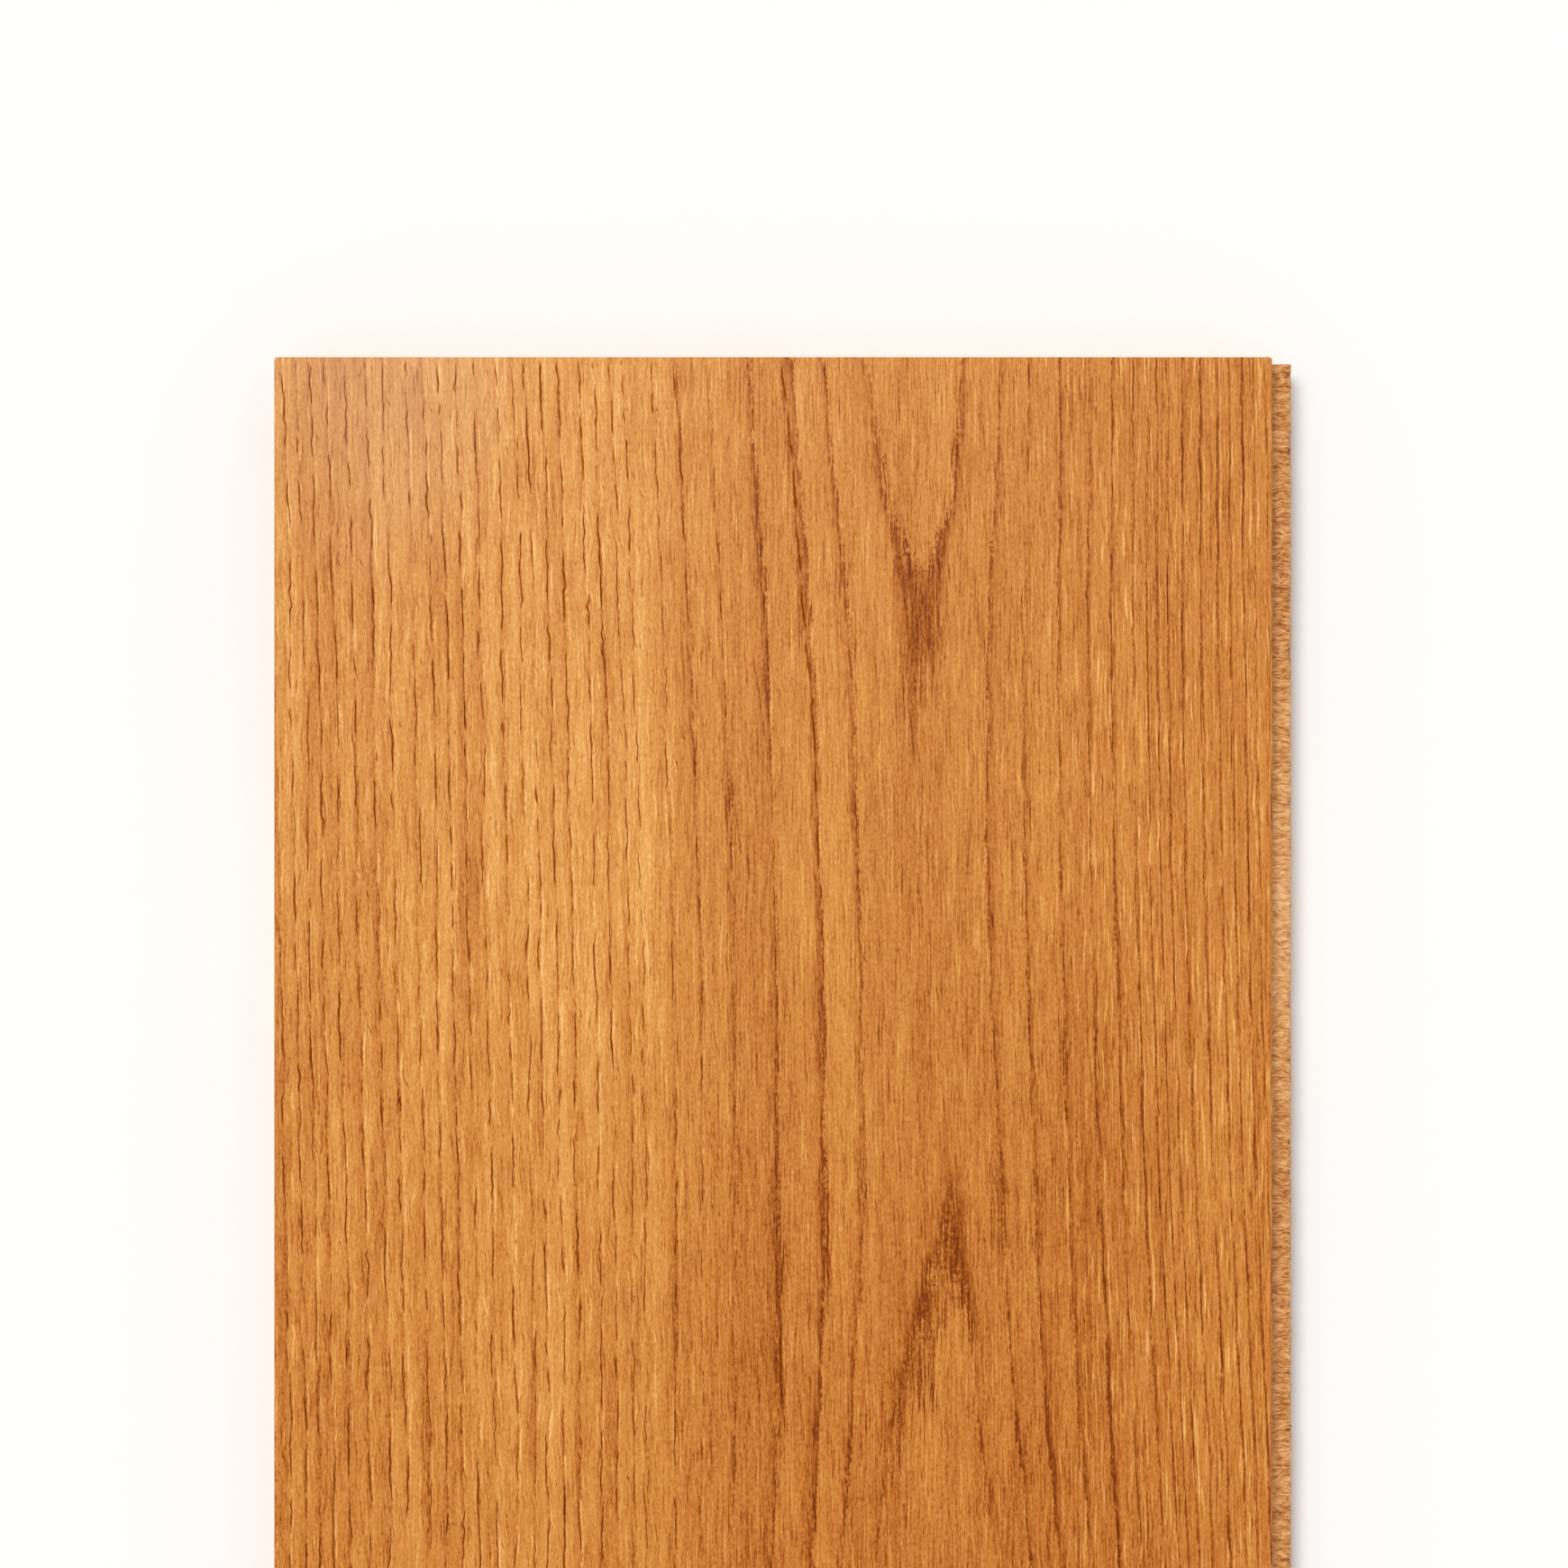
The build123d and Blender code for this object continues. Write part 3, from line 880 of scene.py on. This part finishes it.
# dark streaked spots at the points of the rings and along the strongest lines: across, along,
# half width, half length, lean and strength
SPOTS = (
    (1030, 654, 22, 52, 0.0, 0.9), (1016, 694, 22, 96, 0.0, 0.68), (1034, 716, 9, 66, 0.08, 0.6), (1018, 752, 15, 66, 0.03, 0.85), (1000, 610, 14, 62, 0.3, 0.5), (1050, 598, 12, 60, -0.3, 0.6),
    (981, 520, 10, 30, 0.3, 0.6), (1055, 1392, 17, 60, -0.12, 0.72), (1038, 1452, 22, 50, -0.3, 0.85), (1022, 1488, 22, 60, -0.3, 0.9), (1058, 1350, 12, 60, 0.0, 0.4),
    (1005, 1540, 16, 56, -0.3, 0.8), (1079, 1450, 9, 46, 0.3, 0.6), (996, 1582, 10, 34, 0.0, 0.7), (917, 1372, 7, 100, 0.05, 0.8),
    (913, 1458, 9, 20, -0.3, 0.9), (866, 1420, 6, 110, 0.0, 0.5), (866, 1530, 6, 110, 0.0, 0.7), (905, 890, 6, 120, 0.04, 0.8),
    (911, 1060, 7, 110, 0.04, 0.6), (849, 745, 9, 56, 0.05, 0.6), (842, 566, 8, 34, 0.0, 0.7), (810, 905, 7, 40, 0.0, 1.0),
    (870, 420, 5, 60, 0.10, 0.7), (877, 490, 5, 80, 0.09, 0.8), (884, 580, 5, 90, 0.09, 0.8), (890, 665, 5, 80, 0.10, 0.8), (899, 745, 5, 80, 0.11, 0.8), (905, 830, 5, 80, 0.04, 0.8), (1064, 470, 9, 70, -0.16, 0.6), (1110, 1330, 8, 110, 0.06, 0.6),
)  # fmt: skip


def oak_material():
    m = Nodes("brushed_oak")
    place = m.place()
    ring, show, tone_a, pore, lip = m.attr("ring"), m.attr("show"), m.attr("tone"), m.attr("pore"), m.attr("lip")
    rift, raw_a, end_a, quarter = m.attr("rift"), m.attr("raw"), m.attr("end"), m.attr("quarter")
    bend = m.noise(m.scaled(place, 3.4, 9.0, 3.0, shift=(2, 6, 4)), 2.0, 0.55)
    aside = m.t.nodes.new("ShaderNodeCombineXYZ")
    m.t.links.new(m.math("MULTIPLY", m.math("SUBTRACT", bend, 0.5), m.math("MULTIPLY_ADD", rift, 0.0014, 0.0008)), aside.inputs[0])
    bowed = m.t.nodes.new("ShaderNodeVectorMath")
    bowed.operation = "ADD"
    m.t.links.new(place, bowed.inputs[0])
    m.t.links.new(aside.outputs[0], bowed.inputs[1])
    lay = m.sheared(bowed.outputs[0], 7.3)
    fibre = m.noise(m.scaled(lay, 0.55, 26.0, 3.0), 4.0, 0.62)
    streak = m.noise(m.scaled(place, 3.2, 80.0, 9.0, shift=(7, 3, 1)), 2.0, 0.5)
    fleck = m.noise(m.scaled(place, 2.4, 10.0, 9.0, turn=math.radians(14), shift=(3, 9, 4)), 2.0, 0.5)
    hair = m.noise(m.scaled(lay, 0.30, 6.0, 2.0, shift=(5, 1, 8)), 1.0, 0.5)
    strand = m.noise(m.scaled(lay, 0.40, 19.0, 2.0, shift=(31, 4, 8)), 2.0, 0.6)
    grit = m.noise(m.scaled(place, 0.40, 0.80, 1.0, turn=math.radians(3), shift=(9, 14, 3)), 1.0, 0.6)
    bits = m.noise(m.scaled(place, 0.60, 1.7, 1.0, turn=math.radians(-4), shift=(3, 19, 5)), 1.0, 0.6)
    glint = m.noise(m.scaled(lay, 0.36, 10.0, 3.0, shift=(11, 17, 2)), 1.0, 0.5)
    broken = m.noise(m.scaled(lay, 1.2, 7.0, 3.0, shift=(21, 7, 2)), 2.0, 0.6)

    # rings: a dark line that starts sharply and fades outward, frayed by the fibres
    fray = m.math("MULTIPLY_ADD", fibre, 0.22, m.math("MULTIPLY_ADD", hair, 0.10, m.math("MULTIPLY_ADD", grit, 0.14, -0.23)))
    fray = m.math("MULTIPLY_ADD", m.math("SUBTRACT", bend, 0.5), 0.24, fray)
    part = m.math("FRACT", m.math("ADD", ring, fray))
    # close rings have lines as wide as the open ones
    spread = m.math("SUBTRACT", 1.0, m.math("ADD", m.math("MULTIPLY", quarter, 0.16), m.math("MULTIPLY", rift, 0.45)))
    wide = m.math("MULTIPLY", part, spread)
    line = m.ramp(wide, [(0.0, (1, 1, 1)), (0.045, (0.95, 0.95, 0.95)), (0.095, (0.44, 0.44, 0.44)), (0.17, (0.15, 0.15, 0.15)), (0.36, (0, 0, 0))])
    onset = m.range(part, 0.955, 1.0, 0.0, 0.9)
    line = m.math("MULTIPLY", m.math("MAXIMUM", line, onset), show)
    line = m.math("MULTIPLY", line, m.range(broken, 0.36, 0.58, 0.66, 1.12))
    line = m.math("MULTIPLY", line, m.range(hair, 0.36, 0.62, 0.80, 1.12))
    line = m.math("MULTIPLY", line, m.range(bits, 0.36, 0.58, 0.68, 1.15))

    # how deep the colour is: slow tone, streaks, fibres and flecks
    d = m.math("MULTIPLY_ADD", m.math("SUBTRACT", streak, 0.5), m.math("MULTIPLY_ADD", rift, 0.30, 0.30), tone_a)
    d = m.math("MULTIPLY_ADD", fibre, 0.46, m.math("ADD", d, -0.23))
    d = m.math("MULTIPLY_ADD", m.math("SUBTRACT", fleck, 0.5), m.math("MULTIPLY_ADD", rift, 0.20, 0.06), d)
    # the dark spots are drawn out along the fibres
    drawn = m.t.nodes.new("ShaderNodeCombineXYZ")
    shift_x = m.math("MULTIPLY_ADD", broken, 0.0030, -0.0015)
    shift_y = m.math("MULTIPLY_ADD", strand, 0.050, m.math("MULTIPLY_ADD", hair, 0.022, -0.036))
    m.t.links.new(shift_x, drawn.inputs[0])
    m.t.links.new(shift_y, drawn.inputs[1])
    moved = m.t.nodes.new("ShaderNodeVectorMath")
    moved.operation = "ADD"
    m.t.links.new(place, moved.inputs[0])
    m.t.links.new(drawn.outputs[0], moved.inputs[1])
    spots = None
    for cx, cy, rx, ry, lean, strength in SPOTS:
        one = m.math("MULTIPLY", m.range(m.blob(moved.outputs[0], cx, cy, rx, ry, lean), 0.0, 0.7), strength)
        spots = one if spots is None else m.math("MAXIMUM", spots, one)
    spots = m.math("MULTIPLY", spots, m.range(grit, 0.35, 0.60, 0.80, 1.08))
    d = m.math("ADD", d, m.math("MINIMUM", m.math("MULTIPLY_ADD", line, m.math("MULTIPLY_ADD", quarter, 0.07, 0.41), m.math("MULTIPLY", spots, 0.27)), m.math("MULTIPLY_ADD", fibre, 0.30, 0.20)))
    # short hairlines and grit; then pale streaks, partly pale fibres and partly painted lacquer glints, and painted
    # highlights beside the ring lines and on the lit side of the rift's pore rows
    d = m.math("MULTIPLY_ADD", m.range(hair, 0.575, 0.65, 0.0, 1.0), 0.20, d)
    d = m.math("MULTIPLY_ADD", m.range(strand, 0.56, 0.65, 0.0, 1.0), 0.16, d)
    d = m.math("MULTIPLY_ADD", m.math("SUBTRACT", grit, 0.5), m.math("MULTIPLY_ADD", quarter, -0.10, 0.56), d)
    d = m.math("MULTIPLY_ADD", bits, 0.22, m.math("ADD", d, -0.11))
    fibre_and_glint_streak = m.math("MULTIPLY", m.range(glint, 0.61, 0.68, 0.0, 1.0), m.math("MULTIPLY_ADD", quarter, 0.16, 0.20))
    painted_highlight_beside = m.ramp(wide, [(0.0, (0, 0, 0)), (0.13, (0, 0, 0)), (0.18, (1, 1, 1)), (0.27, (0, 0, 0))])
    painted_highlight_beside = m.math("MULTIPLY", painted_highlight_beside, m.math("MULTIPLY", quarter, m.range(strand, 0.46, 0.56, 0.0, 0.33)))
    painted_lit_side = m.ramp(part, [(0.0, (0, 0, 0)), (0.80, (0, 0, 0)), (0.88, (1, 1, 1)), (0.95, (0, 0, 0))])
    painted_lit_side = m.math("MULTIPLY", painted_lit_side, m.math("MULTIPLY", rift, m.range(glint, 0.48, 0.58, 0.0, 0.22)))
    d = m.math("SUBTRACT", d, m.math("ADD", m.math("ADD", fibre_and_glint_streak, painted_lit_side), painted_highlight_beside))
    # grooves darken towards their floor, partly stain in the pores and partly painted shade in the recess; the right
    # lips of some are painted paler, a painted highlight where the light from the left falls
    groove = m.range(pore, 0.08, 0.62, 0.0, 1.0, smooth=True)
    groove = m.math("MULTIPLY", groove, m.range(bits, 0.36, 0.54, 0.62, 1.10))
    d = m.math("SUBTRACT", d, m.math("MULTIPLY", lip, m.range(broken, 0.44, 0.58, 0.0, 0.50)))
    d = m.math("ADD", m.math("MULTIPLY", d, m.math("MULTIPLY_ADD", groove, -0.65, 1.0)), m.math("MULTIPLY", groove, 0.62), clamp=True)
    col = m.ramp(d, [
        (0.0, wood(252, 196, 128)), (0.10, wood(245, 183, 108)), (0.25, wood(232, 165, 89)), (0.40, wood(220, 148, 73)),
        (0.55, wood(208, 131, 61)), (0.70, wood(190, 111, 45)), (0.82, wood(169, 90, 30)), (0.92, wood(148, 72, 20)), (1.0, wood(128, 58, 14)),
    ])  # fmt: skip
    # painted sheen: the far groove-side corner is painted paler, a painted reflection of the key light on the lacquer
    painted_sheen = m.math("MULTIPLY", m.range(m.blob(place, 430, 400, 190, 300, 0.0), 0.0, 0.8, 0.0, 1.0, smooth=True), 0.20)
    col = m.mix(painted_sheen, col, srgb(226, 186, 148))
    # sawn, unlacquered sides and the cut ends
    sawn = m.mix(fibre, srgb(205, 158, 104, 0.9), srgb(168, 118, 70, 0.9))
    col = m.mix(raw_a, col, sawn)
    dots = m.noise(m.scaled(place, 0.45, 0.45, 0.45, shift=(2, 2, 9)), 2.0, 0.6)
    end_dark = m.math("ADD", m.math("MULTIPLY", line, 0.6), m.range(dots, 0.52, 0.66, 0.0, 0.6), clamp=True)
    end_col = m.mix(end_dark, srgb(178, 126, 76, 0.9), srgb(96, 58, 28, 0.9))
    col = m.mix(m.math("MULTIPLY", end_a, raw_a), col, end_col)
    m.put(m.bsdf, "Base_Color", col)
    rough = m.math("ADD", m.range(fibre, 0.2, 0.8, 0.28, 0.38), m.math("MULTIPLY", m.math("ADD", raw_a, groove), 0.25), clamp=True)
    m.put(m.bsdf, "Roughness", rough)
    m.bsdf.inputs["Specular IOR Level"].default_value = 0.12
    h = m.math("ADD", m.math("MULTIPLY", fibre, 1.0), m.math("MULTIPLY", hair, -0.5))
    m.put(m.bsdf, "Normal", m.bump(h, 0.00012, 0.8))
    return m.mat


def core_material():
    m = Nodes("crosswise_core")
    place = m.place()
    pit = m.attr("pit")
    bent = m.noise(m.scaled(place, 3.0, 2.6, 2.6, shift=(6, 1, 3)), 1.0, 0.5)
    turned = m.t.nodes.new("ShaderNodeCombineXYZ")
    m.t.links.new(m.math("MULTIPLY_ADD", bent, 0.0022, -0.0011), turned.inputs[1])
    moved = m.t.nodes.new("ShaderNodeVectorMath")
    moved.operation = "ADD"
    m.t.links.new(place, moved.inputs[0])
    m.t.links.new(turned.outputs[0], moved.inputs[1])
    bow = moved.outputs[0]
    streak = m.noise(m.scaled(bow, 22.0, 1.0, 1.2, shift=(1, 5, 2)), 3.0, 0.6)
    fuzz = m.noise(m.scaled(bow, 1.5, 0.42, 0.5, shift=(8, 2, 6)), 2.0, 0.6)
    slow = m.noise(m.scaled(place, 60.0, 34.0, 30.0, shift=(4, 8, 3)), 1.0, 0.5)
    t = m.math("MULTIPLY_ADD", streak, 0.55, m.math("MULTIPLY_ADD", fuzz, 1.5, -0.50))
    t = m.math("MULTIPLY_ADD", m.math("SUBTRACT", slow, 0.5), 0.2, t)
    t = m.math("MULTIPLY_ADD", m.attr("light"), -0.22, t)
    # paler towards the tongue's root: a painted lift against the shadow that the face's edge casts there
    apart = m.t.nodes.new("ShaderNodeSeparateXYZ")
    m.t.links.new(place, apart.inputs[0])
    t = m.math("SUBTRACT", t, m.range(apart.outputs[0], (NOSE - 4.6) * MM, (NOSE - 3.2) * MM, 0.16, 0.0))
    t = m.math("MULTIPLY_ADD", pit, 0.50, t, clamp=True)
    col = m.ramp(t, [(0.10, srgb(236, 190, 138)), (0.34, srgb(217, 161, 103)), (0.52, srgb(200, 138, 81)), (0.72, srgb(170, 102, 48)), (0.95, srgb(128, 68, 26))])
    # the nose is painted paler: a painted highlight where its rounded edge catches the light
    sep = m.t.nodes.new("ShaderNodeSeparateXYZ")
    m.t.links.new(place, sep.inputs[0])
    painted_nose_highlight = m.range(sep.outputs[0], (NOSE - 0.75) * MM, (NOSE - 0.25) * MM, 0.0, 1.0)
    painted_nose_highlight = m.math("MULTIPLY", painted_nose_highlight, m.range(fuzz, 0.35, 0.62, 0.60, 0.10))
    col = m.mix(painted_nose_highlight, col, srgb(232, 192, 148, 0.96))
    m.put(m.bsdf, "Base_Color", col)
    m.bsdf.inputs["Roughness"].default_value = 0.8
    m.bsdf.inputs["Specular IOR Level"].default_value = 0.2
    m.put(m.bsdf, "Normal", m.bump(m.math("ADD", m.math("MULTIPLY", streak, 0.6), fuzz), 0.00016, 0.8))
    return m.mat


def backing_material():
    m = Nodes("backing_veneer_wood")
    place = m.place()
    streak = m.noise(m.scaled(place, 2.2, 90.0, 5.0, shift=(1, 5, 2)), 3.0, 0.6, 0.3)
    band = m.noise(m.scaled(place, 24.0, 260.0, 9.0, shift=(9, 4, 4)), 2.0, 0.5, 0.6)
    t = m.math("ADD", m.math("MULTIPLY", streak, 0.55), m.math("MULTIPLY", band, 0.45))
    col = m.ramp(t, [(0.3, srgb(232, 206, 168, 0.9)), (0.5, srgb(218, 184, 140, 0.9)), (0.7, srgb(188, 146, 100, 0.9))])
    m.put(m.bsdf, "Base_Color", col)
    m.bsdf.inputs["Roughness"].default_value = 0.75
    m.put(m.bsdf, "Normal", m.bump(streak, 0.0002, 0.7))
    return m.mat


def dress(obj, mat):
    obj.data.materials.clear()
    obj.data.materials.append(mat)


oak_mat = oak_material()
dress(oak, oak_mat)
dress(core, core_material())
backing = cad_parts["backing_veneer"]
backing_mat = backing_material()
if not backing.material_slots:
    backing.data.materials.append(backing_mat)
for s in backing.material_slots:
    s.material = backing_mat

# --- floor, light and camera ------------------------------------------------------------
side = 9.0
fm = bpy.data.meshes.new("studio_floor")
fm.from_pydata([(-side, -side, 0), (side, -side, 0), (side, side, 0), (-side, side, 0)], [], [(0, 1, 2, 3)])
floor = bpy.data.objects.new("studio_floor", fm)
bpy.context.scene.collection.objects.link(floor)
fmat = bpy.data.materials.new("studio_floor")
fmat.use_nodes = True
fb = next(n for n in fmat.node_tree.nodes if n.type == "BSDF_PRINCIPLED")
fb.inputs["Base Color"].default_value = (0.93, 0.93, 0.93, 1)
fb.inputs["Roughness"].default_value = 0.9
fb.inputs["Specular IOR Level"].default_value = 0.1
fm.materials.append(fmat)

world = bpy.data.worlds.new("studio")
bpy.context.scene.world = world
world.use_nodes = True
bg = next(n for n in world.node_tree.nodes if n.type == "BACKGROUND")
bg.inputs["Color"].default_value = (1.0, 1.0, 1.0, 1)
bg.inputs["Strength"].default_value = 0.52

sun = bpy.data.lights.new("soft_key", "SUN")
sun.energy = 1.94
sun.angle = math.radians(24)
sun.color = (1.0, 0.99, 0.97)
key = bpy.data.objects.new("soft_key", sun)
bpy.context.scene.collection.objects.link(key)
key.rotation_mode = "QUATERNION"
key.rotation_quaternion = (-Vector((-0.27, 0.28, 0.92))).to_track_quat("-Z", "Y")

CAM_X = float(across(870.0)) * MM
CAM_Y = float(along(870.0)) * MM
cam_data = bpy.data.cameras.new("camera")
cam_data.sensor_width = 36.0
cam_data.sensor_fit = "HORIZONTAL"
HEIGHT = 0.608
cam_data.lens = 36.0 * HEIGHT / (1740 * UNIT * MM)
cam_data.clip_start, cam_data.clip_end = 0.01, 50
cam = bpy.data.objects.new("camera", cam_data)
bpy.context.scene.collection.objects.link(cam)
cam.location = (CAM_X, CAM_Y, Z_TOP * MM + HEIGHT)
cam.rotation_euler = (0, 0, 0)
bpy.context.scene.camera = cam

print("denoise", bpy.context.scene.cycles.use_denoising, "adaptive", bpy.context.scene.cycles.use_adaptive_sampling)
